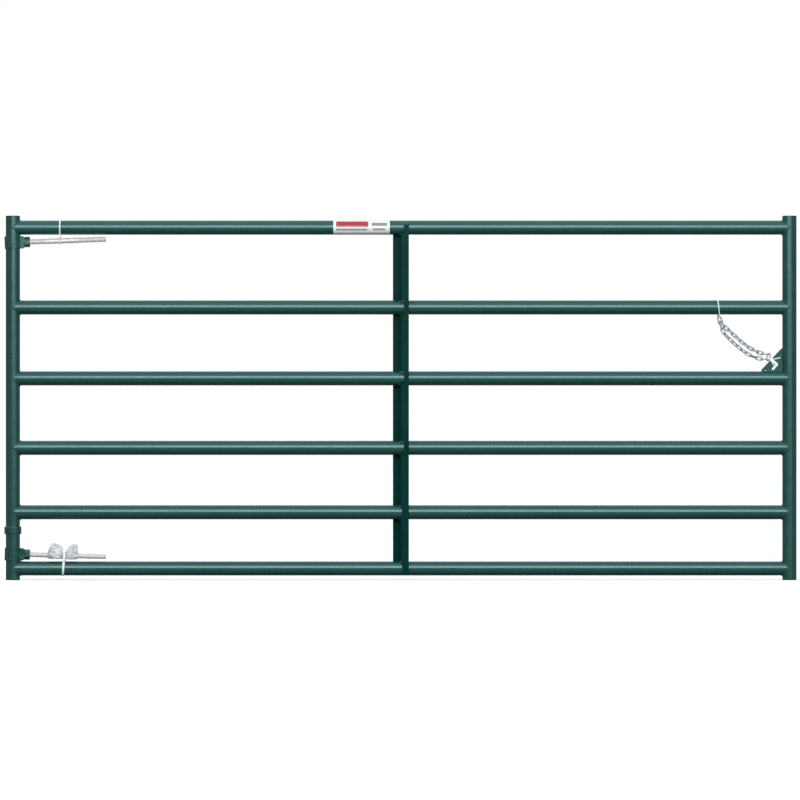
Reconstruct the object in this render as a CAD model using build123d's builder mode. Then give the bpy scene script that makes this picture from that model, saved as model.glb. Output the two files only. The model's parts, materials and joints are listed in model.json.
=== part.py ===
"""Livestock panel gate: six-rail tube gate with hinge rods, chain latch gusset and chain.

Frame: origin on the hinge upright's axis at its foot, +X along the gate to the
latch side, +Y to the back, +Z up.  All sizes in millimetres.
"""

from build123d import *
import math
import os

# ---------------------------------------------------------------- tube frame
TUBE_OD = 50.8
TUBE_WALL = 1.65
SPAN = 2778.0  # hinge upright axis to latch upright axis
UPRIGHT_HEIGHT = 1303.0  # over the end plugs
RAIL_Z = [1260.6, 975.0, 721.3, 472.8, 242.3, 41.4]  # rail axes, top to bottom
COPE_GAP = 0.1  # fit-up gap between a coped rail end and its upright

PLUG_HEAD = 3.0
PLUG_STEM = 22.0
PLUG_WALL = 2.0
PLUG_CLEARANCE = 0.15  # on the radius, inside the tube
PLUG_ROUND = 2.0

# ---------------------------------------------------------------- Z brace
BRACE_X = 1388.0  # web's middle plane
BRACE_SHEET = 1.9
BRACE_PROUD = 3.175  # flanges' outer faces beyond the tubes
BRACE_FLANGE = 28.6  # web's middle plane to the free edge of a flange
BRACE_BEND = 2.5  # bend radius on the sheet's middle
BRACE_HOLE_CLEARANCE = 0.5  # on the radius, round each rail
BRACE_NOTCH = [11.2, 11.2, 11.2, 11.2, 3.4, 4.0]  # flange notch at each rail
BRACE_NOTCH_SHORT = 1.4  # notch half-height short of the tube's radius
BRACE_NOTCH_FROM = 11.43  # middle plane to where a notch starts
BRACE_OVER = 10.4  # rail 1's axis up to the top
BRACE_UNDER = 17.4  # rail 6's axis down to the foot
BRACE_END_GAP = 0.5  # web's ends to rails 1 and 6
BRACE_BEHIND = 3.5  # back flange beyond the web's ends, behind those rails

# ---------------------------------------------------------------- latch gusset
GUSSET_T = 6.35
GUSSET_ALONG = 75.0
GUSSET_UP = 82.0
GUSSET_NOSE = 5.0  # blunt lower end of the long edge
GUSSET_NOSE_TOP = 3.0
GUSSET_GAP = 0.1  # to the rail and upright that it is welded to
SLOT_W = 8.0
SLOT_AT = 56.0  # slot mouth, along the long edge from its lower end
SLOT_DEPTH = 29.0
SLOT_HOOK = 22.0  # length of the slot's inner leg
RAT_HOLE_R = 4.0
RAT_HOLE_IN = 61.0  # small round cut-out, from the gusset's square corner

# ---------------------------------------------------------------- stop ring
RING_UP = 85.6  # lower hinge's middle up to the ring's
RING_HEIGHT = 24.0
RING_WALL = 4.9
RING_CLEARANCE = 0.2
RING_ROUND = 1.5

# ---------------------------------------------------------------- hinge sets
HINGE_OFF_RAIL = {"upper": 27.9, "lower": 25.6}  # outer rail's surface to the hinge's middle
HINGE_TILT = {"upper": 2.0, "lower": -1.5}  # degrees, rod's free end up
STRAP_T = 3.2
STRAP_WIDTH = 44.45
STRAP_CLEARANCE = 1.0
STRAP_BEND = 5.0
EAR_CLEARANCE = 0.7  # each side of the rod
EAR_WIDTH = 34.0
NUT_AF = 31.75
NUT_T = 18.65
NUT_OUT = 17.1  # upright's surface to the nut's near face
NUT_CHAMFER_ANGLE = 30
THREAD_CLEARANCE = 0.2
ROD_D = 19.05
ROD_LENGTH = 304.8
ROD_OUT = 2.6  # upright's surface to the rod's near end
ROD_CHAMFER = 1.6
ROD_NEAR_THREAD = 96.0
ROD_FAR_THREAD = 100.0
SHANK_UNDER = 0.45  # plain stretch's diameter under the thread's

# ---------------------------------------------------------------- chain
LINK_WIRE = 4.6
LINK_LONG = 17.0  # inside length beyond one wire
LINK_PLAY = 2.2  # inside width beyond one wire
LINK_SLACK = 0.3  # room between hooked wires at the fold
# places along the chain: from the corner between the latch upright and rail 3
FOLD_CENTRE = (-49.6, 0.0, 50.8)
FOLD_HALF = 8.0  # half-width of the link that this place is laid for
ROUTE_ROOM = 202.9  # height between rails 3 and 2 that the routes are laid for
FOLD_LEAN = 6.0  # degrees off vertical
CHAIN_TWIST = 40.0  # most that the links turn off square, half way along
STRAND_Y = LINK_WIRE + 1.0  # strands apart at the rail tie, each side of the middle plane
UPPER_PITCH = 18.85  # along the route as laid; it shortens or stretches with the route
LOWER_PITCH = 20.5
UPPER_ROUTE = [
    (-71.6, 0, 63.8),
    (-93.6, 0, 71.3),
    (-115.6, 0, 82.3),
    (-136.6, 0, 97.8),
    (-155.6, 0.3, 114.3),
    (-174.6, 1.5, 131.3),
    (-190.6, 3.6, 146.3),
    (-205.6, 5.2, 159.3),
    (-216.6, STRAND_Y, 172.8),
    (-225.9, STRAND_Y, 188.3),
    (-231.6, STRAND_Y, 209.3),
]
LOWER_ROUTE = [
    (-74.6, 0, 43.8),
    (-99.6, 0, 50.3),
    (-122.6, 0, 60.8),
    (-143.6, 0, 75.3),
    (-162.6, -0.3, 91.3),
    (-181.6, -1.5, 108.3),
    (-199.6, -3.6, 125.3),
    (-214.1, -5.2, 143.8),
    (-221.8, -STRAND_Y, 162.8),
    (-224.9, -STRAND_Y, 183.3),
    (-225.7, -STRAND_Y, 208.3),
]

# ---------------------------------------------------------------- cable ties
TIE_T = 1.2
TIE_GAP = 0.3
ROD_TIE_WIDTH = {"upper": 4.8, "lower": 7.6}
ROD_TIE_X = {"upper": 169.0, "lower": 181.6}
ROD_TIE_LEAN = {"upper": 0.0, "lower": 4.0}  # degrees, rod's side towards +X
CHAIN_TIE_WIDTH = 3.6
RAIL_TIE_BACK = 228.7  # latch upright's face to where it crosses the rail's axis
RAIL_TIE_LEAN = 6.0  # degrees, foot of the loop towards +X
RAIL_TIE_GAP = 0.6
CHAIN_BELOW = 11.9  # rail 2's underside down to the run that carries the chain
RAIL_TIE_BEND = 1.0
HEAD = (6.5, 7.5, 5.0)  # moulded head: width, length, height
HEAD_ROUND = 1.0

GUSSET_TIE_HALF = 3.6  # half the room inside its loop, front to back
GUSSET_TIE_START = 2.5  # from the fold link's middle
GUSSET_TIE_STOP = 4.3  # short of the slot leg's middle
GUSSET_TIE_HEAD = 9.0
TIE_TAIL_T = 1.0
GUSSET_TAIL = 37.0
GUSSET_TAIL_RISE = 0.2
RAIL_TAIL = 76.0
RAIL_TAIL_OUT = 2.1  # rail's surface to the tail's middle
RAIL_HEAD_Y = 9.5

# ---------------------------------------------------------------- spare hardware
SPARE_NUT_AF = 28.6
SPARE_NUT_T = 16.3
SPARE_NUT_AT = [137.5, 211.5]  # along the lower rod
SPARE_NUT_GAP = 0.46  # nut's lower corner to the rod
WASHER_OD = 37.3
WASHER_ID = 20.6
WASHER_T = 3.4
WASHER_AT = [150.5, 211.2]
WASHER_UP = 7.5
WASHER_OFF = 7.875  # rod's surface to a washer's near face

BAG_CLEARANCE = 0.4  # bag to the rod and to what it holds
BAG_LOBES = [(125.0, 178.5, 58.0), (190.5, 231.0, 55.0)]  # from, to, height
BAG_DEPTH = 50.0
BAG_BELOW = 14.0  # rod's axis to the bag's underside
BAG_ROUND = 15.0
BAG_END_ROUND = 3.0
BAG_NECK_WALL = 2.675  # gathered film round the rod

# ---------------------------------------------------------------- label
LABEL_X = 1247.5
LABEL_LENGTH = 202.0
LABEL_T = 0.25
LABEL_GAP = 0.05
LABEL_ARC = 150.0

TUBE_R = TUBE_OD / 2
BORE_R = TUBE_R - TUBE_WALL
BRACE_DEPTH = TUBE_OD + 2 * BRACE_PROUD
BRACE_TOP = RAIL_Z[0] + BRACE_OVER
BRACE_BOTTOM = RAIL_Z[-1] - BRACE_UNDER
BRACE_NOTCH_HALF = TUBE_R - BRACE_NOTCH_SHORT
ROD_R = ROD_D / 2
ROD_AT = TUBE_R + ROD_OUT
NUT_AT = TUBE_R + NUT_OUT
HINGE_Z = {
    "upper": RAIL_Z[0] - TUBE_R - HINGE_OFF_RAIL["upper"],
    "lower": RAIL_Z[-1] + TUBE_R + HINGE_OFF_RAIL["lower"],
}
RING_Z = HINGE_Z["lower"] + RING_UP
SPARE_NUT_UP = ROD_R + SPARE_NUT_AF / math.sqrt(3) + SPARE_NUT_GAP
SPARE_BORE = ROD_D + 2 * THREAD_CLEARANCE
WASHER_OUT = ROD_R + WASHER_OFF
BAG_NECK_R = ROD_R + BAG_NECK_WALL
LINK_IN = LINK_WIRE + LINK_LONG
LINK_WIDE = LINK_WIRE + LINK_PLAY
LINK_BEND = (LINK_WIDE + LINK_WIRE) / 2
LINK_HALF = (LINK_IN + LINK_WIRE) / 2
os.makedirs("parts", exist_ok=True)


def save(builder, name):
    """Label a finished piece and write it to its own STEP file."""
    builder.part.label = name
    export_step(builder.part, f"parts/{name}.step")


def along_x(x, z=0.0, y=0.0):
    """Sketch plane square to X, with its own x along +Y and its y along +Z."""
    return Plane(origin=(x, y, z), x_dir=(0, 1, 0), z_dir=(1, 0, 0))


def hinge_plane(side):
    """Plane square to a hinge's collar: x runs out along the rod, z up the collar."""
    a = math.radians(HINGE_TILT[side])
    return Plane(
        origin=(0, 0, HINGE_Z[side]),
        x_dir=(math.cos(a), 0, math.sin(a)),
        z_dir=(-math.sin(a), 0, math.cos(a)),
    )


def rod_plane(side, distance):
    """Plane square to a hinge rod at a distance from the upright's axis."""
    base = hinge_plane(side)
    return Plane(
        origin=base.origin + base.x_dir * distance,
        x_dir=(0, 1, 0),
        z_dir=base.x_dir,
    )


# ================================================================ frame tubes
def upright(name, x):
    """Vertical end tube, open ends closed by the plugs."""
    with BuildPart() as tube:
        with BuildSketch(Plane(origin=(x, 0, PLUG_HEAD))):
            Circle(TUBE_R)
            Circle(BORE_R, mode=Mode.SUBTRACT)
        extrude(amount=UPRIGHT_HEIGHT - 2 * PLUG_HEAD)
    save(tube, name)


def end_plug(name, x, z, up):
    """Moulded plug: a flush head on the tube's end and a hollow stem inside it."""
    face = Plane(origin=(x, 0, z), z_dir=(0, 0, 1 if up else -1))
    with BuildPart() as plug:
        with BuildSketch(face):
            Circle(TUBE_R)
        extrude(amount=PLUG_HEAD)
        fillet(plug.faces().sort_by(Axis.Z)[-1 if up else 0].edges(), PLUG_ROUND)
        with BuildSketch(face):
            Circle(BORE_R - PLUG_CLEARANCE)
            Circle(BORE_R - PLUG_CLEARANCE - PLUG_WALL, mode=Mode.SUBTRACT)
        extrude(amount=-PLUG_STEM)
    save(plug, name)


def rail(name, z):
    """Horizontal tube, coped to sit on both uprights."""
    with BuildPart() as tube:
        with BuildSketch(along_x(0, z)):
            Circle(TUBE_R)
            Circle(BORE_R, mode=Mode.SUBTRACT)
        extrude(amount=SPAN)
        with BuildSketch(Plane.XY.offset(z - TUBE_OD)):
            with Locations((0, 0), (SPAN, 0)):
                Circle(TUBE_R + COPE_GAP)
        extrude(amount=2 * TUBE_OD, mode=Mode.SUBTRACT)
    save(tube, name)


for end, at in (("hinge", 0.0), ("latch", SPAN)):
    upright(f"{end}_upright", at)
    end_plug(f"{end}_upright_top_plug", at, UPRIGHT_HEIGHT - PLUG_HEAD, True)
    end_plug(f"{end}_upright_foot_plug", at, PLUG_HEAD, False)
for number, height in enumerate(RAIL_Z, 1):
    rail(f"rail_{number}", height)


# ================================================================ Z brace
def brace_outline():
    """Z section: back flange to -X, web across the rails, front flange to +X."""
    y = (BRACE_DEPTH - BRACE_SHEET) / 2
    with BuildLine(Plane.XY.offset(BRACE_BOTTOM)) as outline:
        FilletPolyline(
            (BRACE_X - BRACE_FLANGE, y),
            (BRACE_X, y),
            (BRACE_X, -y),
            (BRACE_X + BRACE_FLANGE, -y),
            radius=BRACE_BEND,
        )
    return outline.line


brace_line = brace_outline()
with BuildPart() as z_brace:
    with BuildSketch(Plane.XY.offset(BRACE_BOTTOM)):
        trace(brace_line, line_width=BRACE_SHEET)
    extrude(amount=BRACE_TOP - BRACE_BOTTOM)
    # the web stops at the outer rails and the back flange just behind them; a front tab goes on
    top_cut = RAIL_Z[0] - TUBE_R - BRACE_END_GAP
    foot_cut = RAIL_Z[-1] + TUBE_R + BRACE_END_GAP
    for notch, cut, way in ((BRACE_NOTCH[0], top_cut, 1), (BRACE_NOTCH[-1], foot_cut, -1)):
        for depth, start in (
            (1.5 * BRACE_DEPTH - BRACE_SHEET, cut),
            (2 * BRACE_DEPTH, cut + way * BRACE_BEHIND),
        ):
            with BuildSketch(Plane.XY.offset(start)):
                with Locations((BRACE_X + notch, -BRACE_DEPTH)):
                    Rectangle(4 * BRACE_FLANGE, depth, align=(Align.MAX, Align.MIN))
            extrude(amount=way * 2 * TUBE_OD, mode=Mode.SUBTRACT)
    # punched holes for the inner rails, opened into both flanges
    for z, notch in zip(RAIL_Z[1:-1], BRACE_NOTCH[1:-1]):
        with BuildSketch(along_x(BRACE_X - BRACE_FLANGE / 2, z)):
            Circle(TUBE_R + BRACE_HOLE_CLEARANCE)
        extrude(amount=BRACE_FLANGE, mode=Mode.SUBTRACT)
        for side in (1, -1):
            with BuildSketch(Plane.XY.offset(z - BRACE_NOTCH_HALF)):
                with Locations((BRACE_X - side * notch, side * BRACE_DEPTH)):
                    corner = (Align.MIN if side > 0 else Align.MAX, Align.CENTER)
                    reach = 2 * (BRACE_DEPTH - BRACE_NOTCH_FROM)
                    Rectangle(notch + 2 * BRACE_SHEET, reach, align=corner)
            extrude(amount=2 * BRACE_NOTCH_HALF, mode=Mode.SUBTRACT)
save(z_brace, "z_brace")

# ================================================================ latch gusset
corner_x = SPAN - TUBE_R - GUSSET_GAP
corner_z = RAIL_Z[2] + TUBE_R + GUSSET_GAP
edge_angle = math.degrees(math.atan2(GUSSET_UP, GUSSET_ALONG))
edge_foot = Vector(corner_x - GUSSET_ALONG, corner_z)
edge_along = Vector(1, 0).rotate(Axis.Z, edge_angle)
edge_inward = Vector(1, 0).rotate(Axis.Z, edge_angle - 90)
mouth = edge_foot + edge_along * SLOT_AT
slot_corner = mouth + edge_inward * (SLOT_DEPTH - SLOT_W / 2)
with BuildPart() as latch_gusset:
    with BuildSketch(Plane.XZ):
        with BuildLine():
            Polyline(
                (corner_x, corner_z),
                (corner_x, corner_z + GUSSET_UP),
                (corner_x - GUSSET_NOSE_TOP, corner_z + GUSSET_UP),
                (corner_x - GUSSET_ALONG, corner_z + GUSSET_NOSE),
                (corner_x - GUSSET_ALONG, corner_z),
                close=True,
            )
        make_face()
        with Locations((corner_x - RAT_HOLE_IN, corner_z)):
            Circle(RAT_HOLE_R, mode=Mode.SUBTRACT)
        with Locations(Location(mouth, edge_angle - 90)):
            Rectangle(2 * (SLOT_DEPTH - SLOT_W / 2), SLOT_W, mode=Mode.SUBTRACT)
        with Locations(Location(slot_corner - edge_along * SLOT_HOOK / 2, edge_angle)):
            SlotOverall(SLOT_HOOK + SLOT_W, SLOT_W, mode=Mode.SUBTRACT)
    extrude(amount=GUSSET_T / 2, both=True)
save(latch_gusset, "latch_gusset")

# ================================================================ hinge stop ring
with BuildPart() as stop_ring:
    with BuildSketch(Plane.XY.offset(RING_Z - RING_HEIGHT / 2)):
        Circle(TUBE_R + RING_CLEARANCE + RING_WALL)
        Circle(TUBE_R + RING_CLEARANCE, mode=Mode.SUBTRACT)
    extrude(amount=RING_HEIGHT)
    fillet(stop_ring.edges().filter_by(GeomType.CIRCLE).group_by(SortBy.RADIUS)[-1], RING_ROUND)
save(stop_ring, "hinge_stop_ring")


# ================================================================ hinge sets
def hinge_strap(side):
    """Flat strap looped round the upright, its ends running out as two ears."""
    inner = TUBE_R + STRAP_CLEARANCE
    gap = ROD_D + 2 * EAR_CLEARANCE
    base = hinge_plane(side)
    with BuildPart() as strap:
        with BuildSketch(base.offset(-STRAP_WIDTH / 2)) as loop:
            Circle(inner + STRAP_T)
            Rectangle(NUT_AT, gap + 2 * STRAP_T, align=(Align.MIN, Align.CENTER))
            crooks = loop.vertices().filter_by_position(Axis.X, TUBE_R / 2, NUT_AT - STRAP_BEND)
            fillet([v for v in crooks if abs(v.Y) < inner], STRAP_BEND)
            Circle(inner, mode=Mode.SUBTRACT)
            Rectangle(2 * NUT_AT, gap, align=(Align.MIN, Align.CENTER), mode=Mode.SUBTRACT)
        extrude(amount=STRAP_WIDTH)
        # the ears narrow towards the nut
        for up in (1, -1):
            with BuildSketch(Plane(base.origin, x_dir=base.x_dir, z_dir=(0, -1, 0))):
                with BuildLine():
                    Polyline(
                        (inner + STRAP_T + STRAP_BEND, up * STRAP_WIDTH),
                        (inner + STRAP_T + STRAP_BEND, up * STRAP_WIDTH / 2),
                        (NUT_AT + 1, up * EAR_WIDTH / 2),
                        (NUT_AT + 1, up * STRAP_WIDTH),
                        close=True,
                    )
                make_face()
            extrude(amount=TUBE_OD, both=True, mode=Mode.SUBTRACT)
    save(strap, f"{side}_hinge_strap")


def hex_nut(across_flats, thickness, bore):
    """Hexagon nut standing on XY, corners chamfered on both faces."""
    corner_r = across_flats / math.sqrt(3)
    fall = (corner_r - across_flats / 2) * math.tan(math.radians(NUT_CHAMFER_ANGLE))
    with BuildPart() as nut:
        with BuildSketch():
            RegularPolygon(corner_r, 6)
        extrude(amount=thickness)
        with BuildSketch(Plane.XZ):
            with BuildLine():
                Polyline(
                    (0, 0),
                    (across_flats / 2, 0),
                    (corner_r, fall),
                    (corner_r, thickness - fall),
                    (across_flats / 2, thickness),
                    (0, thickness),
                    close=True,
                )
            make_face()
        revolve(axis=Axis.Z, mode=Mode.INTERSECT)
        with BuildSketch():
            Circle(bore / 2)
        extrude(amount=thickness, mode=Mode.SUBTRACT)
    return nut.part


def hinge_nut(side):
    """Heavy hexagon nut welded across the ears' ends, corners up and down."""
    base = rod_plane(side, NUT_AT)
    upended = Plane(origin=base.origin, x_dir=hinge_plane(side).z_dir, z_dir=base.z_dir)
    with BuildPart() as nut:
        with Locations(upended.location):
            add(hex_nut(NUT_AF, NUT_T, ROD_D + 2 * THREAD_CLEARANCE))
    save(nut, f"{side}_hinge_nut")


def hinge_rod(side):
    """Round rod with a rolled thread at each end and a plain stretch between."""
    with BuildPart() as rod:
        with BuildSketch(rod_plane(side, ROD_AT)):
            Circle(ROD_R)
        extrude(amount=ROD_NEAR_THREAD)
        with BuildSketch(rod_plane(side, ROD_AT + ROD_NEAR_THREAD)):
            Circle((ROD_D - SHANK_UNDER) / 2)
        extrude(amount=ROD_LENGTH - ROD_NEAR_THREAD - ROD_FAR_THREAD)
        with BuildSketch(rod_plane(side, ROD_AT + ROD_LENGTH - ROD_FAR_THREAD)):
            Circle(ROD_R)
        extrude(amount=ROD_FAR_THREAD)
        ends = rod.faces().filter_by(GeomType.PLANE).sort_by(Axis.X)
        chamfer([ends[0].outer_wire().edge(), ends[-1].outer_wire().edge()], ROD_CHAMFER)
    save(rod, f"{side}_hinge_rod")


for hinge_side in ("upper", "lower"):
    hinge_strap(hinge_side)
    hinge_nut(hinge_side)
    hinge_rod(hinge_side)


# ================================================================ chain
def chain_link():
    """One welded link, flat in its own XY plane with its length along X."""
    straight = (LINK_IN - LINK_WIDE) / 2
    with BuildPart() as link:
        with BuildLine() as middle:
            Line((-straight, -LINK_BEND), (straight, -LINK_BEND))
            RadiusArc((straight, -LINK_BEND), (straight, LINK_BEND), -LINK_BEND)
            Line((straight, LINK_BEND), (-straight, LINK_BEND))
            RadiusArc((-straight, LINK_BEND), (-straight, -LINK_BEND), -LINK_BEND)
        with BuildSketch(Plane(origin=(0, -LINK_BEND, 0), z_dir=(1, 0, 0))):
            Circle(LINK_WIRE / 2)
        sweep(path=middle.wires()[0])
    return link.part


def next_joint(start, route, first, reach):
    """The point on a route at a straight distance from start, and its span."""
    for span in range(first, len(route) - 1):
        a = route[span]
        run = route[span + 1] - a
        back = a - start
        half_b = run.dot(back)
        root = half_b**2 - run.dot(run) * (back.dot(back) - reach**2)
        if root < 0:
            continue
        share = (math.sqrt(root) - half_b) / run.dot(run)
        if 0 <= share <= 1:
            return a + run * share, span
    return None, first


def route_length(points):
    return sum((b - a).length for a, b in zip(points, points[1:]))


def strand_places(start, route, pitch, twist):
    """Where each link of a strand lies, from the fold to the rail."""
    laid = [start] + [chain_base + Vector(*p) for p in route]
    points = [start] + [chain_base + Vector(x, y, z * route_stretch) for x, y, z in route]
    pitch *= route_length(points) / route_length(laid)
    joints = [start]
    span = 0
    while True:
        reach = pitch if len(joints) > 1 else LINK_HALF + pitch / 2
        joint, span = next_joint(joints[-1], points, span, reach)
        if joint is None:
            break
        joints.append(joint)
    places = []
    count = len(joints) - 1
    for i in range(count):
        run = (joints[i + 1] - joints[i]).normalized()
        middle = (joints[i] + joints[i + 1]) / 2 if i else joints[0] + run * LINK_HALF
        flat = (Vector(0, 1, 0) - run * run.Y).normalized()
        turn = math.radians(90 * (i + 1) + twist * math.sin(math.pi * i / (count - 1)))
        normal = flat * math.cos(turn) + flat.cross(run) * math.sin(turn)
        places.append(Plane(origin=middle, x_dir=run, z_dir=normal).location)
    return places


chain_base = Vector(SPAN - TUBE_R, 0, RAIL_Z[2] + TUBE_R)
route_stretch = (RAIL_Z[1] - RAIL_Z[2] - TUBE_OD) / ROUTE_ROOM
fold_out = Vector(-GUSSET_UP, 0, GUSSET_ALONG).normalized()
fold_centre = chain_base + Vector(*FOLD_CENTRE) + fold_out * (LINK_WIDE / 2 + LINK_WIRE - FOLD_HALF)
fold_along = Vector(0, 0, 1).rotate(Axis.Y, FOLD_LEAN)
fold_hook = fold_along * (LINK_IN / 2 - LINK_WIRE / 2 - LINK_SLACK)
fold_place = Plane(origin=fold_centre, x_dir=fold_along, z_dir=(0, 1, 0)).location
upper_places = strand_places(fold_centre + fold_hook, UPPER_ROUTE, UPPER_PITCH, CHAIN_TWIST)
lower_places = strand_places(fold_centre - fold_hook, LOWER_ROUTE, LOWER_PITCH, -CHAIN_TWIST)
link_solid = chain_link()
with BuildPart() as chain_fold_link:
    with Locations(fold_place):
        add(link_solid)
save(chain_fold_link, "chain_fold_link")
with BuildPart() as chain_upper_strand:
    with Locations(*upper_places):
        add(link_solid)
save(chain_upper_strand, "chain_upper_strand")
with BuildPart() as chain_lower_strand:
    with Locations(*lower_places):
        add(link_solid)
save(chain_lower_strand, "chain_lower_strand")


# ================================================================ cable ties
def hull_ring(rounds, grow):
    """Face of the tightest band outline round some circles (x, y, radius)."""
    with BuildSketch() as outline:
        with BuildLine():
            for x, y, r in rounds:
                CenterArc((x, y), r + grow, 0, 360)
        make_hull()
    return outline.sketch


def rod_tie(side):
    """Cable tie round a rail and the hinge rod beside it, with its moulded head."""
    rail_z = RAIL_Z[0] if side == "upper" else RAIL_Z[-1]
    x = ROD_TIE_X[side]
    width = ROD_TIE_WIDTH[side]
    tilt = math.tan(math.radians(HINGE_TILT[side]))
    lean = math.radians(ROD_TIE_LEAN[side])
    rise = (HINGE_Z[side] + x * tilt - rail_z) / (1 - tilt * math.tan(lean))
    # laid out upright about the rail, then leant
    rod_z = rail_z + rise / math.cos(lean)
    # a leaning band needs more room, from edge to edge
    ease = width / 2 * math.tan(lean)
    rail_r = TUBE_R / math.cos(lean) + ease
    held_r = (ROD_R if side == "upper" else BAG_NECK_R) / math.cos(lean) + ease
    rounds = [(0, rail_z, rail_r), (0, rod_z, held_r)]
    inside = hull_ring(rounds, TIE_GAP)
    outside = hull_ring(rounds, TIE_GAP + TIE_T)
    place = along_x(x - width / 2)
    with BuildPart() as tie:
        with BuildSketch(place):
            add(outside)
            add(inside, mode=Mode.SUBTRACT)
        extrude(amount=width)
        # the head lies on the front of the band, between rail and rod
        head_z = (rail_z + rod_z) / 2 + (TUBE_R - ROD_R) / 2 * (-1 if side == "upper" else 1)
        apart = abs(rod_z - rail_z)
        slant = math.asin((rail_r - held_r) / apart)
        share = (abs(head_z - rail_z) - HEAD[1] / 2) / apart
        band = (rail_r + (held_r - rail_r) * share + TIE_GAP + TIE_T / 2) / math.cos(slant)
        with BuildSketch(Plane.XZ.offset(band)):
            with Locations((x, head_z)):
                RectangleRounded(HEAD[0], HEAD[1], HEAD_ROUND)
        extrude(amount=HEAD[2])
    with BuildPart() as leant:
        add(tie.part.rotate(Axis((x, 0, rail_z), (0, 1, 0)), ROD_TIE_LEAN[side]))
    save(leant, f"{side}_rod_tie")


for tie_side in ("upper", "lower"):
    rod_tie(tie_side)

with BuildPart() as chain_rail_tie:
    lean = math.radians(RAIL_TIE_LEAN)
    tie_normal = (math.cos(lean), 0, math.sin(lean))
    tie_x = SPAN - TUBE_R - RAIL_TIE_BACK
    tie_low = -TUBE_R - CHAIN_BELOW
    tie_tail_y = TUBE_R + RAIL_TAIL_OUT
    tie_plane = Plane(origin=(tie_x, 0, RAIL_Z[1]), x_dir=(0, 1, 0), z_dir=tie_normal)
    tie_rounds = [(0, 0, TUBE_R)] + [(y, tie_low, RAIL_TIE_BEND) for y in (-STRAND_Y, STRAND_Y)]
    ring_inside = hull_ring(tie_rounds, RAIL_TIE_GAP)
    ring_outside = hull_ring(tie_rounds, RAIL_TIE_GAP + TIE_T)
    with BuildSketch(tie_plane.offset(-CHAIN_TIE_WIDTH / 2)):
        add(ring_outside)
        add(ring_inside, mode=Mode.SUBTRACT)
    extrude(amount=CHAIN_TIE_WIDTH)
    # head under the rail, on the loop's back run
    head_bottom = RAIL_Z[1] + tie_low
    with BuildSketch(Plane.XZ.offset(-RAIL_HEAD_Y)):
        with Locations((tie_x, head_bottom)):
            RectangleRounded(HEAD[0], HEAD[1], HEAD_ROUND, align=(Align.CENTER, Align.MIN))
    extrude(amount=-HEAD[2])
    # tail from the head up behind the rail, its end showing above
    tail_lean = math.radians(2 * RAIL_TIE_LEAN)
    tail_plane = Plane(
        origin=(tie_x, 0, head_bottom + HEAD[1] / 2),
        x_dir=(0, 1, 0),
        z_dir=(math.cos(tail_lean), 0, math.sin(tail_lean)),
    )
    with BuildSketch(tail_plane.offset(-CHAIN_TIE_WIDTH / 2)):
        with BuildLine() as tail_line:
            Polyline((RAIL_HEAD_Y + 1, 0), (tie_tail_y, TUBE_R), (tie_tail_y, RAIL_TAIL))
        trace(tail_line.line, line_width=TIE_TAIL_T)
    extrude(amount=CHAIN_TIE_WIDTH)
save(chain_rail_tie, "chain_rail_tie")

# the tie that holds the folded end: through the fold link and the gusset's slot
slot_leg = slot_corner - edge_along * SLOT_HOOK / 2
leg_middle = Vector(slot_leg.X, 0, slot_leg.Y)
tie_along = (leg_middle - fold_centre).normalized()
tie_start = fold_centre + tie_along * GUSSET_TIE_START
tie_stop = leg_middle - tie_along * GUSSET_TIE_STOP
with BuildPart() as chain_gusset_tie:
    gusset_tie_plane = Plane(
        origin=(tie_start + tie_stop) / 2,
        x_dir=tie_along,
        z_dir=tie_along.cross(Vector(0, 1, 0)),
    )
    loop_length = (tie_stop - tie_start).length
    with BuildSketch(gusset_tie_plane.offset(-CHAIN_TIE_WIDTH / 2)):
        SlotCenterToCenter(loop_length, 2 * (GUSSET_TIE_HALF + TIE_T))
        SlotCenterToCenter(loop_length, 2 * GUSSET_TIE_HALF, mode=Mode.SUBTRACT)
    extrude(amount=CHAIN_TIE_WIDTH)
    head_at = tie_start + tie_along * GUSSET_TIE_HEAD
    head_face = Plane(
        origin=head_at - Vector(0, GUSSET_TIE_HALF + TIE_T / 2, 0),
        x_dir=tie_along,
        z_dir=(0, -1, 0),
    )
    with BuildSketch(head_face):
        RectangleRounded(HEAD[1], HEAD[0], HEAD_ROUND)
    extrude(amount=HEAD[2])
    tail_face = Plane(origin=head_face.origin, x_dir=(1, 0, GUSSET_TAIL_RISE), z_dir=(0, -1, 0))
    with BuildSketch(tail_face.offset(HEAD[2] / 2)):
        Rectangle(GUSSET_TAIL, CHAIN_TIE_WIDTH, align=(Align.MIN, Align.CENTER))
    extrude(amount=TIE_TAIL_T)
save(chain_gusset_tie, "chain_gusset_tie")


# ================================================================ bag of hardware
def lower_rod_point(distance, out, up):
    """Plane beside the lower rod, square to it, with local x to the back, y up."""
    base = hinge_plane("lower")
    origin = base.origin + base.x_dir * distance + Vector(0, out, 0) + base.z_dir * up
    return Plane(origin=origin, x_dir=(0, 1, 0), z_dir=base.x_dir)


def washer_plane(distance, side):
    """Plane on a washer's near face, its normal pointing away from the rod."""
    origin = lower_rod_point(distance, side * WASHER_OUT, WASHER_UP).origin
    return Plane(origin=origin, x_dir=(1, 0, 0), z_dir=(0, side, 0))


washer_planes = [washer_plane(s, side) for s in WASHER_AT for side in (-1, 1)]
nut_planes = [lower_rod_point(s, 0, SPARE_NUT_UP) for s in SPARE_NUT_AT]
with BuildPart() as spare_nuts:
    with Locations(*[plane.location for plane in nut_planes]):
        add(hex_nut(SPARE_NUT_AF, SPARE_NUT_T, SPARE_BORE))
save(spare_nuts, "spare_nuts")
with BuildPart() as spare_washers:
    with BuildSketch(*washer_planes):
        Circle(WASHER_OD / 2)
        Circle(WASHER_ID / 2, mode=Mode.SUBTRACT)
    extrude(amount=WASHER_T)
save(spare_washers, "spare_washers")

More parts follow.
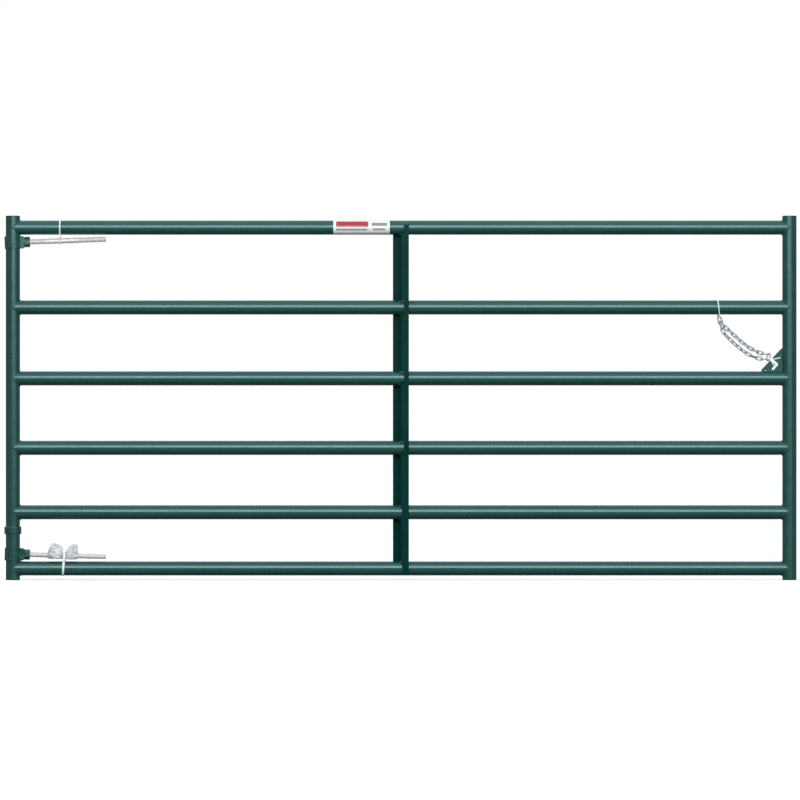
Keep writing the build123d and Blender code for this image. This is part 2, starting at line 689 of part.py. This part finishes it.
with BuildPart() as hardware_bag:
    for start, stop, tall in BAG_LOBES:
        with BuildSketch(lower_rod_point(start, 0, tall / 2 - BAG_BELOW)):
            RectangleRounded(BAG_DEPTH, tall, BAG_ROUND)
        extrude(amount=stop - start)
    ends = hardware_bag.faces().filter_by(lambda f: abs(f.normal_at().X) > 0.9)
    fillet(ends.edges(), BAG_END_ROUND)
    with BuildSketch(lower_rod_point(BAG_LOBES[0][1], 0, 0)):
        Circle(BAG_NECK_R)
    extrude(amount=BAG_LOBES[1][0] - BAG_LOBES[0][1])
    with BuildSketch(lower_rod_point(BAG_LOBES[0][0] - 1, 0, 0)):
        Circle(ROD_R + BAG_CLEARANCE)
    extrude(amount=BAG_LOBES[1][1] - BAG_LOBES[0][0] + 2, mode=Mode.SUBTRACT)
    with BuildSketch(*[plane.offset(-BAG_CLEARANCE) for plane in nut_planes]):
        Circle(SPARE_NUT_AF / math.sqrt(3) + BAG_CLEARANCE)
    extrude(amount=SPARE_NUT_T + 2 * BAG_CLEARANCE, mode=Mode.SUBTRACT)
    with BuildSketch(*[plane.offset(-BAG_CLEARANCE) for plane in washer_planes]):
        Circle(WASHER_OD / 2 + BAG_CLEARANCE)
    extrude(amount=WASHER_T + 2 * BAG_CLEARANCE, mode=Mode.SUBTRACT)
save(hardware_bag, "hardware_bag")

# ================================================================ label
with BuildPart() as rail_label:
    label_r = TUBE_R + LABEL_GAP
    with BuildSketch(along_x(LABEL_X - LABEL_LENGTH / 2, RAIL_Z[0])):
        with BuildLine():
            first = 180 - LABEL_ARC / 2
            outer = CenterArc((0, 0), label_r + LABEL_T, first, LABEL_ARC)
            inner_arc = CenterArc((0, 0), label_r, first, LABEL_ARC)
            Line(outer @ 0, inner_arc @ 0)
            Line(outer @ 1, inner_arc @ 1)
        make_face()
    extrude(amount=LABEL_LENGTH)
save(rail_label, "rail_label")
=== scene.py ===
"""Looks of the livestock panel gate: paint, welds, rolled threads, film bag, light and camera."""

import json
import math
import bpy
import numpy as np
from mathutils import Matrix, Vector, noise
from mathutils.bvhtree import BVHTree


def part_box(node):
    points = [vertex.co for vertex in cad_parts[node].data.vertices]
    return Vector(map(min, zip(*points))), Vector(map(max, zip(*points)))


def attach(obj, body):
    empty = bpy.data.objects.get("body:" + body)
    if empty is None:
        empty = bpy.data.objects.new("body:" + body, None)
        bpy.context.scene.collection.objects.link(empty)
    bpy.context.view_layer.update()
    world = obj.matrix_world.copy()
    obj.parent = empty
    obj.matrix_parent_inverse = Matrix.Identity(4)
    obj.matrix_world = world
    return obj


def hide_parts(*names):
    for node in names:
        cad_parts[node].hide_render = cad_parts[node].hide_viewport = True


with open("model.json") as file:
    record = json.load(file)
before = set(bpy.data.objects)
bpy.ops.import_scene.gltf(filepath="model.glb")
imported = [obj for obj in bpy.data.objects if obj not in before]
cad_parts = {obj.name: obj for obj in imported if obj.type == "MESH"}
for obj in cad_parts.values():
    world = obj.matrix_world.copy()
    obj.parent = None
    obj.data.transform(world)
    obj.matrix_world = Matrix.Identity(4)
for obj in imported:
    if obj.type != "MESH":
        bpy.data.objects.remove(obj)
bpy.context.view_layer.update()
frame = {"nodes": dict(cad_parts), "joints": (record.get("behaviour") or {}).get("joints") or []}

NODES = frame["nodes"]
JOINTS = {joint["name"]: joint for joint in frame["joints"]}
FRAME_BODY = "gate_frame"

rail_low, rail_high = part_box("rail_1")
TUBE_R = (rail_high.z - rail_low.z) / 2
latch_low, latch_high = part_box("latch_upright")
LATCH_X = (latch_low.x + latch_high.x) / 2
RAIL_NAMES = [f"rail_{number}" for number in range(1, 7)]
RAIL_Z = [(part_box(name)[0].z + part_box(name)[1].z) / 2 for name in RAIL_NAMES]
brace_low, brace_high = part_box("z_brace")
BRACE_X = (brace_low.x + brace_high.x) / 2


# ---------------------------------------------------------------- small tools
def new_mesh(name, points, faces, material, body, smooth=True):
    """A mesh piece in the frame that the CAD shares, riding on a body."""
    mesh = bpy.data.meshes.new(name)
    mesh.from_pydata([tuple(p) for p in points], [], faces)
    mesh.polygons.foreach_set("use_smooth", [smooth] * len(mesh.polygons))
    mesh.update()
    piece = bpy.data.objects.new(name, mesh)
    bpy.context.scene.collection.objects.link(piece)
    mesh.materials.append(material)
    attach(piece, body)
    return piece


def ring_faces(rings, around, closed=False):
    """Quads between successive rings of points."""
    last = rings if closed else rings - 1
    faces = []
    for i in range(last):
        a, b = i * around, ((i + 1) % rings) * around
        for j in range(around):
            k = (j + 1) % around
            faces.append((a + j, a + k, b + k, b + j))
    return faces


# ---------------------------------------------------------------- materials
class Shader:
    """A Principled material with short ways to add nodes and links."""

    def __init__(self, name, **values):
        self.material = bpy.data.materials.new(name)
        self.material.use_nodes = True
        self.tree = self.material.node_tree
        self.surface = self.tree.nodes["Principled BSDF"]
        self.place = self.tree.nodes.new("ShaderNodeTexCoord").outputs["Object"]
        for socket, value in values.items():
            self.surface.inputs[socket.replace("_", " ")].default_value = value

    def node(self, kind, **values):
        made = self.tree.nodes.new("ShaderNode" + kind)
        for key, value in values.items():
            setattr(made, key, value)
        return made

    def link(self, start, end):
        self.tree.links.new(start, end)

    def noise(self, scale, detail=4.0, rough=0.55, stretch=(1, 1, 1)):
        """Noise over the object, as a number from 0 to 1."""
        mapping = self.node("Mapping")
        mapping.inputs["Scale"].default_value = stretch
        self.link(self.place, mapping.inputs["Vector"])
        made = self.node("TexNoise")
        made.inputs["Scale"].default_value = scale
        made.inputs["Detail"].default_value = detail
        made.inputs["Roughness"].default_value = rough
        self.link(mapping.outputs["Vector"], made.inputs["Vector"])
        return made.outputs["Fac"]

    def ramp(self, value, stops):
        """Colours along a value, from (place, colour) pairs."""
        made = self.node("ValToRGB")
        while len(made.color_ramp.elements) < len(stops):
            made.color_ramp.elements.new(0.5)
        for element, (place, colour) in zip(made.color_ramp.elements, stops):
            element.position = place
            element.color = (*colour, 1)
        self.link(value, made.inputs["Fac"])
        return made.outputs["Color"]

    def span(self, value, low, high, start=0.3, stop=0.7):
        """A number remapped to run from low to high."""
        made = self.node("MapRange")
        for key, number in (("From Min", start), ("From Max", stop), ("To Min", low), ("To Max", high)):
            made.inputs[key].default_value = number
        self.link(value, made.inputs["Value"])
        return made.outputs["Result"]

    def math(self, operation, a, b=0.0):
        made = self.node("Math", operation=operation)
        for socket, value in zip(made.inputs, (a, b)):
            if isinstance(value, (int, float)):
                socket.default_value = value
            else:
                self.link(value, socket)
        return made.outputs[0]

    def mix(self, share, a, b):
        """Colour a where share is 0, b where it is 1."""
        made = self.node("Mix", data_type="RGBA")
        self.link(share, made.inputs["Factor"])
        for name, value in (("A", a), ("B", b)):
            socket = next(i for i in made.inputs if i.name == name and i.type == "RGBA")
            if isinstance(value, tuple):
                socket.default_value = (*value, 1)
            else:
                self.link(value, socket)
        return next(o for o in made.outputs if o.type == "RGBA")

    def bump(self, height, strength, distance):
        made = self.node("Bump")
        made.inputs["Strength"].default_value = strength
        made.inputs["Distance"].default_value = distance
        self.link(height, made.inputs["Height"])
        self.link(made.outputs["Normal"], self.surface.inputs["Normal"])

    def colour(self, value):
        self.link(value, self.surface.inputs["Base Color"])

    def rough(self, value):
        self.link(value, self.surface.inputs["Roughness"])


def green_paint(name, dark, light, glint_share=0.0, sheen=0.9, gloss=0.22):
    """Gate green: baked enamel with a slight orange peel, clouding, and lighter spots as painted
    highlights if asked.
    """
    s = Shader(name, Specular_IOR_Level=sheen, Specular_Tint=(0.64, 0.97, 1.0, 1.0))
    base = s.ramp(s.noise(7.0, 5), [(0.3, dark), (0.7, light)])
    dust = s.span(s.noise(55.0, 6, 0.7), 0.0, 0.05, 0.60, 0.74)
    base = s.mix(dust, base, (0.10, 0.14, 0.13))
    if glint_share:
        # lighter green spots: painted highlights standing in for glints on the metal
        glint_spots = s.span(s.noise(95.0, 5, 0.65), 0.0, glint_share, 0.50, 0.66)
        base = s.mix(glint_spots, base, (0.16, 0.26, 0.22))
    s.colour(base)
    s.rough(s.span(s.noise(35.0, 5), gloss, gloss + 0.10))
    s.bump(s.noise(260.0, 3), 0.05, 0.0004)
    return s.material


def zinc(name, tint, metal, roughness):
    """Zinc plate: softly mottled, with a fine grain."""
    s = Shader(name, Metallic=metal)
    mottle = s.noise(120.0, 5, 0.6)
    dark = tuple(0.72 * c for c in tint)
    light = tuple(min(1.0, 1.12 * c) for c in tint)
    s.colour(s.ramp(mottle, [(0.3, dark), (0.5, tint), (0.75, light)]))
    s.rough(s.span(s.noise(260.0, 4), roughness - 0.08, roughness + 0.10))
    s.bump(s.noise(600.0, 3, 0.6), 0.08, 0.0002)
    return s.material


def plug_plastic():
    """Black-green moulded plug with a fine grain."""
    s = Shader("plug_plastic")
    s.colour(s.ramp(s.noise(50.0), [(0.3, (0.008, 0.014, 0.015)), (0.7, (0.016, 0.026, 0.027))]))
    s.rough(s.span(s.noise(200.0), 0.42, 0.6))
    s.bump(s.noise(1800.0, 2), 0.2, 0.0002)
    return s.material


def tie_nylon():
    """Natural nylon with the ladder of fine teeth across the band."""
    s = Shader("tie_nylon", Subsurface_Weight=0.15, Subsurface_Radius=(0.002, 0.002, 0.002))
    s.colour(s.ramp(s.noise(80.0), [(0.3, (0.76, 0.84, 0.83)), (0.7, (0.86, 0.94, 0.93))]))
    s.rough(s.span(s.noise(150.0), 0.32, 0.48))
    teeth = s.node("TexWave", wave_type="BANDS", bands_direction="Z")
    teeth.inputs["Scale"].default_value = 160.0
    s.link(s.place, teeth.inputs["Vector"])
    s.bump(teeth.outputs["Fac"], 0.35, 0.0003)
    return s.material


def bag_film():
    """Thin crumpled polythene: milky along its folds, clearer between them, with painted shade in dark
    grey between the folds.
    """
    s = Shader("bag_film", IOR=1.5, Specular_IOR_Level=0.5)
    fold = s.noise(48.0, 4, 0.6, (1.0, 1.0, 1.8))
    # the ramp's dark grey low end is painted shade between the folds; its white high end is the film's
    # milky folds
    milk_and_painted_shade = [(0.36, (0.42, 0.41, 0.46)), (0.48, (0.74, 0.73, 0.78)), (0.62, (0.93, 0.93, 0.96))]
    s.colour(s.ramp(fold, milk_and_painted_shade))
    s.rough(s.span(s.noise(120.0), 0.20, 0.38))
    s.link(s.span(fold, 0.62, 0.86), s.surface.inputs["Alpha"])
    s.bump(s.noise(95.0, 4, 0.6), 0.7, 0.0022)
    return s.material


def between(s, value, low, high):
    """1 where a value lies between two limits, else 0."""
    return s.math("MULTIPLY", s.math("GREATER_THAN", value, low), s.math("LESS_THAN", value, high))


def label_vinyl():
    """White sticker with plain printed blocks and no lettering, and a painted shade band along its foot
    where it turns under the rail.
    """
    low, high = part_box("rail_label")
    long, tall = high.x - low.x, high.z - low.z
    s = Shader("label_vinyl", Coat_Weight=0.4, Coat_Roughness=0.1)
    parts = s.node("SeparateXYZ")
    s.link(s.place, parts.inputs[0])
    across = s.math("DIVIDE", s.math("SUBTRACT", parts.outputs["X"], low.x), long)
    up = s.math("DIVIDE", s.math("SUBTRACT", parts.outputs["Z"], low.z), tall)
    colour = s.ramp(s.noise(40.0), [(0.3, (0.80, 0.81, 0.81)), (0.7, (0.87, 0.88, 0.88))])
    # each block: left and right, foot and top, as shares of the label, then its colour: printed, except
    # the last, which is painted shade
    blocks = [
        ((0.05, 0.62), (0.53, 0.94), (0.42, 0.014, 0.040)),
        ((0.05, 0.60), (0.27, 0.42), (0.34, 0.34, 0.34)),
        ((0.68, 0.95), (0.60, 0.84), (0.26, 0.27, 0.27)),
        ((0.70, 0.92), (0.28, 0.44), (0.36, 0.36, 0.37)),
        # painted shade: grey band along the label's foot, where it curves down round the rail
        ((0.00, 1.00), (-0.1, 0.14), (0.52, 0.50, 0.51)),
    ]
    for (left, right), (foot, top), ink_and_shade in blocks:
        inside = s.math("MULTIPLY", between(s, across, left, right), between(s, up, foot, top))
        colour = s.mix(inside, colour, ink_and_shade)
    s.colour(colour)
    s.rough(s.span(s.noise(120.0), 0.25, 0.38))
    s.bump(s.noise(300.0), 0.05, 0.0002)
    return s.material


PAINT = green_paint("green_paint", (0.0050, 0.050, 0.040), (0.0066, 0.060, 0.049))
# the brace's paint is a darker copy of the gate green: painted shade on the sheet's flat faces
SHADED_SHEET_PAINT = green_paint("green_paint_sheet_shaded", (0.0012, 0.030, 0.026), (0.0018, 0.038, 0.032), sheen=0.06)
# hinge nuts, straps and gusset: gate green with lighter spots painted as highlights
PAINT_GLINTED = green_paint(
    "green_paint_glinted", (0.0050, 0.047, 0.038), (0.0070, 0.060, 0.049), glint_share=0.34, sheen=0.6
)
ZINC = zinc("zinc", (0.80, 0.77, 0.76), 0.35, 0.45)
CHAIN_ZINC = zinc("chain_zinc", (0.44, 0.47, 0.51), 0.5, 0.42)
FOLD_ZINC = zinc("chain_zinc_brown", (0.50, 0.43, 0.44), 0.5, 0.45)
PLUG = plug_plastic()
NYLON = tie_nylon()
FILM = bag_film()
VINYL = label_vinyl()


def material_for(node):
    """The material that a carried-over CAD node wears."""
    if node.endswith("_plug"):
        return PLUG
    if node.endswith("_tie"):
        return NYLON
    if node == "rail_label":
        return VINYL
    if node == "chain_fold_link":
        return FOLD_ZINC
    if node.startswith("chain_"):
        return CHAIN_ZINC
    if node.startswith("spare_") or node.endswith("_rod"):
        return ZINC
    if node == "z_brace":
        return SHADED_SHEET_PAINT
    if "hinge_nut" in node or "hinge_strap" in node or node == "latch_gusset":
        return PAINT_GLINTED
    return PAINT


for node, carried in NODES.items():
    carried.data.materials.clear()
    carried.data.materials.append(material_for(node))


# ---------------------------------------------------------------- weld beads
BEAD_R = 0.0021
BEAD_RIPPLE = 0.00035
RIPPLE_LENGTH = 0.0024
BEAD_WOBBLE = 0.12  # share of the bead's radius
BEAD_SIDES = 10
BEAD_LIFT = 0.0004  # bead's middle above the tube's surface
SADDLE_SPREAD = 1.012  # bead's path beyond the tube's outline at a coped end
BRACE_BEAD_R = 0.0026
BRACE_BEAD_BACK = 0.0026  # from the web's middle plane
BRACE_BEAD_HALF = 40  # degrees each side of the top or foot of a rail
GUSSET_BEAD_START = 0.004
GUSSET_BEAD_STOP = 0.003
GUSSET_BEAD_STEPS = 60
RING_BEAD_R = 0.0022
RING_BEAD_LIFT = 0.0008
RING_BEAD_STEPS = 160


def bead(name, path, closed=False, radius=BEAD_R):
    """A rippled weld bead swept along a path of points."""
    points = [Vector(p) for p in path]
    count = len(points)
    verts = []
    travelled = 0.0
    for i, here in enumerate(points):
        before = points[i - 1] if i or closed else here
        after = points[(i + 1) % count] if i < count - 1 or closed else here
        along = (after - before).normalized()
        side = along.cross(Vector((0.13, 0.31, 0.94))).normalized()
        other = along.cross(side)
        ripple = BEAD_RIPPLE * math.cos(2 * math.pi * travelled / RIPPLE_LENGTH)
        wobble = BEAD_WOBBLE * radius * noise.noise(here * 90.0)
        end = 1.0 if closed else min(1.0, 0.35 + 0.3 * min(i, count - 1 - i))
        r = (radius + ripple + wobble) * end
        for k in range(BEAD_SIDES):
            a = 2 * math.pi * k / BEAD_SIDES
            verts.append(here + (side * math.cos(a) + other * math.sin(a)) * r)
        travelled += (after - here).length
    faces = ring_faces(count, BEAD_SIDES, closed)
    if not closed:
        faces.append(tuple(range(BEAD_SIDES - 1, -1, -1)))
        faces.append(tuple(range((count - 1) * BEAD_SIDES, count * BEAD_SIDES)))
    made = new_mesh(name, verts, faces, PAINT, FRAME_BODY)
    return made


def saddle(x, z, side, steps=240):
    """Where a rail's end meets an upright of the same size."""
    for i in range(steps):
        a = 2 * math.pi * i / steps
        across = TUBE_R * math.cos(a)
        away = abs(across) + BEAD_LIFT
        yield (x + side * away, TUBE_R * math.sin(a) * SADDLE_SPREAD, z + across * SADDLE_SPREAD)


def arc_round_rail(x, z, middle, half, steps=26):
    """Part of a circle round a rail: middle and half in degrees, 90 is the top."""
    for i in range(steps):
        a = math.radians(middle - half + 2 * half * i / (steps - 1))
        yield (x, (TUBE_R + BEAD_LIFT) * math.cos(a), z + (TUBE_R + BEAD_LIFT) * math.sin(a))


def rail_welds():
    """Round both ends of each rail, and over and under it where it passes through the brace."""
    web = BRACE_X - BRACE_BEAD_BACK
    for number, z in enumerate(RAIL_Z, 1):
        bead(f"weld_hinge_rail_{number}", saddle(0.0, z, 1), closed=True)
        bead(f"weld_latch_rail_{number}", saddle(LATCH_X, z, -1), closed=True)
        for word, middle in (("over", 90), ("under", 270)):
            if (number, word) != (1, "over") and (number, word) != (6, "under"):
                path = arc_round_rail(web, z, middle, BRACE_BEAD_HALF)
                bead(f"weld_brace_{word}_{number}", path, radius=BRACE_BEAD_R)


def gusset_welds():
    """Along the gusset's two straight edges, front and back."""
    low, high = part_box("latch_gusset")
    for face, y in (("front", low.y), ("back", high.y)):
        run = np.linspace(GUSSET_BEAD_START, high.z - low.z - GUSSET_BEAD_STOP, GUSSET_BEAD_STEPS)
        bead(f"weld_gusset_upright_{face}", [(high.x, y, low.z + t) for t in run])
        run = np.linspace(GUSSET_BEAD_START, high.x - low.x - GUSSET_BEAD_STOP, GUSSET_BEAD_STEPS)
        bead(f"weld_gusset_rail_{face}", [(high.x - t, y, low.z) for t in run])


def ring_welds():
    """Over and under the stop ring."""
    low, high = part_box("hinge_stop_ring")
    radius = TUBE_R + RING_BEAD_LIFT
    turns = np.linspace(0, 2 * math.pi, RING_BEAD_STEPS, endpoint=False)
    for word, z in (("over", high.z), ("under", low.z)):
        circle = [(radius * math.cos(a), radius * math.sin(a), z) for a in turns]
        bead(f"weld_ring_{word}", circle, closed=True, radius=RING_BEAD_R)


rail_welds()
gusset_welds()
ring_welds()


# ---------------------------------------------------------------- threaded rods
THREAD_PITCH = 0.00254
THREAD_DEPTH = 0.0013
NEAR_THREAD = 0.096
FAR_THREAD = 0.100
THREAD_FADE = 0.004  # runs out over this length towards the plain shank
ROD_CHAMFER = 0.0016
SHANK_UNDER = 0.00022  # shank's radius under the thread's
ROD_SIDES = 40
RINGS_PER_PITCH = 8
SHANK_RINGS = 40


def rod_frame(side):
    """Axis of a hinge rod: origin on the upright's axis, and three unit vectors."""
    origin = Vector(JOINTS[f"{side}_hinge_swing"]["pos_m"])
    along = Vector(JOINTS[f"{side}_rod_screw"]["axis"]).normalized()
    across = Vector((0, 1, 0))
    return origin, along, across, along.cross(across)


def threaded_rod(side):
    """The hinge rod with its two rolled threads and chamfered ends."""
    origin, along, across, up = rod_frame(side)
    node = f"{side}_hinge_rod"
    reach = [(v.co - origin).dot(along) for v in NODES[node].data.vertices]
    widths = [(v.co - origin).dot(across) for v in NODES[node].data.vertices]
    start, stop, radius = min(reach), max(reach), max(widths)
    shank = radius - SHANK_UNDER
    near_end, far_start = start + NEAR_THREAD, stop - FAR_THREAD
    step = THREAD_PITCH / RINGS_PER_PITCH
    stations = list(np.arange(start, near_end, step)) + list(np.linspace(near_end, far_start, SHANK_RINGS))
    stations += list(np.arange(far_start + step, stop, step)) + [stop]
    verts = []
    for s in stations:
        threaded = s < near_end or s > far_start
        fade = 0.0
        if threaded:
            fade = min(1.0, abs(s - near_end) / THREAD_FADE, abs(s - far_start) / THREAD_FADE)
        end = max(0.0, ROD_CHAMFER - (s - start), ROD_CHAMFER - (stop - s))
        for k in range(ROD_SIDES):
            a = 2 * math.pi * k / ROD_SIDES
            phase = (s / THREAD_PITCH - k / ROD_SIDES) % 1.0
            flank = abs(2 * phase - 1)
            groove = THREAD_DEPTH * min(1.0, max(0.0, 1.3 * flank - 0.15)) * fade
            crest = radius if threaded else shank
            r = min(crest - groove, radius - end)
            verts.append(origin + along * s + (across * math.cos(a) + up * math.sin(a)) * r)
    faces = ring_faces(len(stations), ROD_SIDES)
    faces.append(tuple(range(ROD_SIDES - 1, -1, -1)))
    faces.append(tuple(range((len(stations) - 1) * ROD_SIDES, len(stations) * ROD_SIDES)))
    rod = new_mesh(f"{side}_rod_threaded", verts, faces, ZINC, f"{side}_rod")
    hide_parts(node)


threaded_rod("upper")
threaded_rod("lower")


# ---------------------------------------------------------------- bag of hardware
BAG_AROUND = 220
BAG_RINGS = 240
CRUMPLE = 0.0022
NECK_HALF = 0.0121  # half depth of the gathered neck, which isn't crumpled
NECK_BLEND = 0.008  # half depth beyond the neck's at which the film is fully crumpled
UNDER_SHARE = 0.25  # share of the crumpling kept under the rod, where the rail is near
SQUARENESS = 0.7
CREST_POWER = 4
FILM_OFF = 0.0007  # film to the hardware that it drapes over
RAY_START = 0.08  # well outside the bag
# along the rod: distance, half depth, below and above the rod's axis, share of the depth kept at the top
BAG_SHAPE = [
    (0.1253, 0.0105, 0.0105, 0.0108, 1.00),
    (0.1268, 0.0170, 0.0118, 0.0200, 0.80),
    (0.1310, 0.0245, 0.0130, 0.0310, 0.60),
    (0.1362, 0.0249, 0.0134, 0.0425, 0.50),
    (0.1450, 0.0249, 0.0134, 0.0440, 0.50),
    (0.1545, 0.0249, 0.0134, 0.0425, 0.45),
    (0.1640, 0.0249, 0.0132, 0.0390, 0.30),
    (0.1720, 0.0225, 0.0128, 0.0355, 0.16),
    (0.1768, 0.0180, 0.0122, 0.0290, 0.20),
    (0.1790, 0.0121, 0.0120, 0.0121, 1.00),
    (0.1903, 0.0121, 0.0120, 0.0121, 1.00),
    (0.1912, 0.0190, 0.0122, 0.0215, 0.80),
    (0.1945, 0.0249, 0.0134, 0.0275, 0.85),
    (0.2040, 0.0249, 0.0138, 0.0345, 0.75),
    (0.2115, 0.0249, 0.0138, 0.0415, 0.55),
    (0.2200, 0.0249, 0.0134, 0.0425, 0.48),
    (0.2292, 0.0249, 0.0132, 0.0445, 0.40),
    (0.2307, 0.0190, 0.0122, 0.0300, 0.60),
    (0.2314, 0.0105, 0.0105, 0.0108, 1.00),
]


def crumple(p):
    """Creases of stiff film: sharp valleys between flat facets, from 0 to 1."""
    q = Vector((p.x * 1.1, p.y, p.z * 0.8)) * 44.0
    folds = abs(noise.noise(q)) * 2.0 + 0.5 * abs(noise.noise(q * 2.1)) + 0.12 * abs(noise.noise(q * 4.7))
    return min(1.0, folds)


def hardware_trees():
    """Search trees over the nuts and washers that the bag holds."""
    for node in ("spare_nuts", "spare_washers"):
        mesh = NODES[node].data
        place = NODES[node].matrix_world
        corners = [place @ v.co for v in mesh.vertices]
        yield BVHTree.FromPolygons(corners, [tuple(face.vertices) for face in mesh.polygons])


def film_bag():
    """Crumpled two-lobed bag gathered round the rod by the tie: an open shell of thin film."""
    origin, along, across, up = rod_frame("lower")
    knots = [row[0] for row in BAG_SHAPE]
    columns = [[row[k] for row in BAG_SHAPE] for k in range(1, 5)]
    trees = list(hardware_trees())
    verts = []
    for s in np.linspace(knots[0], knots[-1], BAG_RINGS):
        half, below, above, kept = (float(np.interp(s, knots, column)) for column in columns)
        for k in range(BAG_AROUND):
            a = 2 * math.pi * k / BAG_AROUND
            rise = math.sin(a)
            room = min(1.0, max(0.0, (half - NECK_HALF) / NECK_BLEND))
            # round at the neck, square-shouldered at the middle, thinning to a crest at the top
            wide = math.copysign(abs(math.cos(a)) ** (1 - SQUARENESS * room), math.cos(a))
            narrow = 1 - (1 - kept) * max(0.0, rise) ** CREST_POWER
            height = rise * (above if rise > 0 else below)
            p = origin + along * s + across * (wide * half * narrow) + up * height
            inward = (across * -math.cos(a) - up * rise).normalized()
            if rise < 0:
                room *= UNDER_SHARE
            p += inward * (CRUMPLE * room * crumple(p))
            # pushed out where the hardware stands further out than the film
            foot = origin + along * s
            away = (p - foot).normalized()
            reach = (p - foot).length
            for tree in trees:
                hit = tree.ray_cast(foot + away * RAY_START, -away)[0]
                if hit is not None:
                    reach = max(reach, (hit - foot).dot(away) + FILM_OFF)
            verts.append(foot + away * reach)
    bag = new_mesh("hardware_film_bag", verts, ring_faces(BAG_RINGS, BAG_AROUND), FILM, "lower_rod")
    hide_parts("hardware_bag")


film_bag()


# ---------------------------------------------------------------- floor, light, camera
FLOOR_HALF = 30.0
LENS = 250.0  # mm
SENSOR = 36.0  # mm
SEEN = 2.862  # width of the view at the gate
VIEW_MIDDLE = Vector((1.3849, 0.0, 0.6440))
LIT_MIDDLE = (LATCH_X / 2, 0.0, 0.65)


def floor():
    """Plain pale floor that the gate's own reflections and bounce light leave out."""
    half = FLOOR_HALF
    mesh = bpy.data.meshes.new("floor")
    corners = [(-half, -half, 0), (half, -half, 0), (half, half, 0), (-half, half, 0)]
    mesh.from_pydata([(x + LATCH_X / 2, y, z) for x, y, z in corners], [], [(0, 1, 2, 3)])
    plane = bpy.data.objects.new("floor", mesh)
    bpy.context.scene.collection.objects.link(plane)
    s = Shader("floor", Roughness=0.9, Specular_IOR_Level=0.0, Emission_Strength=0.30)
    s.surface.inputs["Emission Color"].default_value = (1.0, 0.99, 0.98, 1.0)
    s.colour(s.ramp(s.noise(0.6), [(0.3, (0.91, 0.90, 0.89)), (0.7, (0.94, 0.93, 0.92))]))
    mesh.materials.append(s.material)
    plane.visible_glossy = False
    plane.visible_diffuse = False


def area_light(name, place, target, size, energy, colour=(1, 1, 1)):
    """A rectangular softbox at a place, facing a target."""
    data = bpy.data.lights.new(name, "AREA")
    data.shape = "RECTANGLE"
    data.size, data.size_y = size
    data.energy = energy
    data.color = colour
    light = bpy.data.objects.new(name, data)
    bpy.context.scene.collection.objects.link(light)
    light.location = place
    light.rotation_euler = (Vector(target) - Vector(place)).to_track_quat("-Z", "Y").to_euler()


def surroundings():
    """Studio sky: bright above, dim below, white behind the object."""
    world = bpy.data.worlds.new("studio")
    bpy.context.scene.world = world
    world.use_nodes = True
    tree = world.node_tree
    background = tree.nodes["Background"]
    place = tree.nodes.new("ShaderNodeTexCoord")
    parts = tree.nodes.new("ShaderNodeSeparateXYZ")
    tree.links.new(place.outputs["Generated"], parts.inputs[0])
    ramp = tree.nodes.new("ShaderNodeValToRGB")
    stops = [
        (0.0, (0.07, 0.08, 0.07)),
        (0.10, (0.13, 0.15, 0.13)),
        (0.25, (0.38, 0.40, 0.36)),
        (0.42, (0.36, 0.38, 0.36)),
        (0.49, (0.15, 0.17, 0.17)),
        (0.53, (0.15, 0.17, 0.18)),
        (0.66, (0.74, 0.82, 0.86)),
        (1.0, (0.86, 0.94, 1.0)),
    ]
    while len(ramp.color_ramp.elements) < len(stops):
        ramp.color_ramp.elements.new(0.5)
    for element, (at, colour) in zip(ramp.color_ramp.elements, stops):
        element.position = at
        element.color = (*colour, 1)
    spread = tree.nodes.new("ShaderNodeMapRange")
    spread.inputs["From Min"].default_value = -1.0
    tree.links.new(parts.outputs["Z"], spread.inputs["Value"])
    tree.links.new(spread.outputs["Result"], ramp.inputs["Fac"])
    tree.links.new(ramp.outputs["Color"], background.inputs["Color"])
    plain = tree.nodes.new("ShaderNodeBackground")
    plain.inputs["Color"].default_value = (1, 1, 1, 1)
    plain.inputs["Strength"].default_value = 1.0
    ray = tree.nodes.new("ShaderNodeLightPath")
    both = tree.nodes.new("ShaderNodeMixShader")
    tree.links.new(ray.outputs["Is Camera Ray"], both.inputs[0])
    tree.links.new(background.outputs[0], both.inputs[1])
    tree.links.new(plain.outputs[0], both.inputs[2])
    tree.links.new(both.outputs[0], tree.nodes["World Output"].inputs["Surface"])


def camera():
    """A very long lens level with the middle of the gate, square to its front."""
    data = bpy.data.cameras.new("camera")
    data.lens = LENS
    data.sensor_width = SENSOR
    distance = SEEN * data.lens / data.sensor_width
    made = bpy.data.objects.new("camera", data)
    bpy.context.scene.collection.objects.link(made)
    made.location = VIEW_MIDDLE - Vector((0, distance, 0))
    made.rotation_euler = (math.radians(90), 0, 0)
    bpy.context.scene.camera = made


floor()
surroundings()
area_light("key", (LATCH_X / 2, -6.6, 3.05), LIT_MIDDLE, (5.6, 3.2), 290)
area_light("side", (LATCH_X + 3.4, -8.0, 1.3), LIT_MIDDLE, (2.4, 2.6), 34)
camera()
bpy.context.scene.view_settings.view_transform = "Standard"
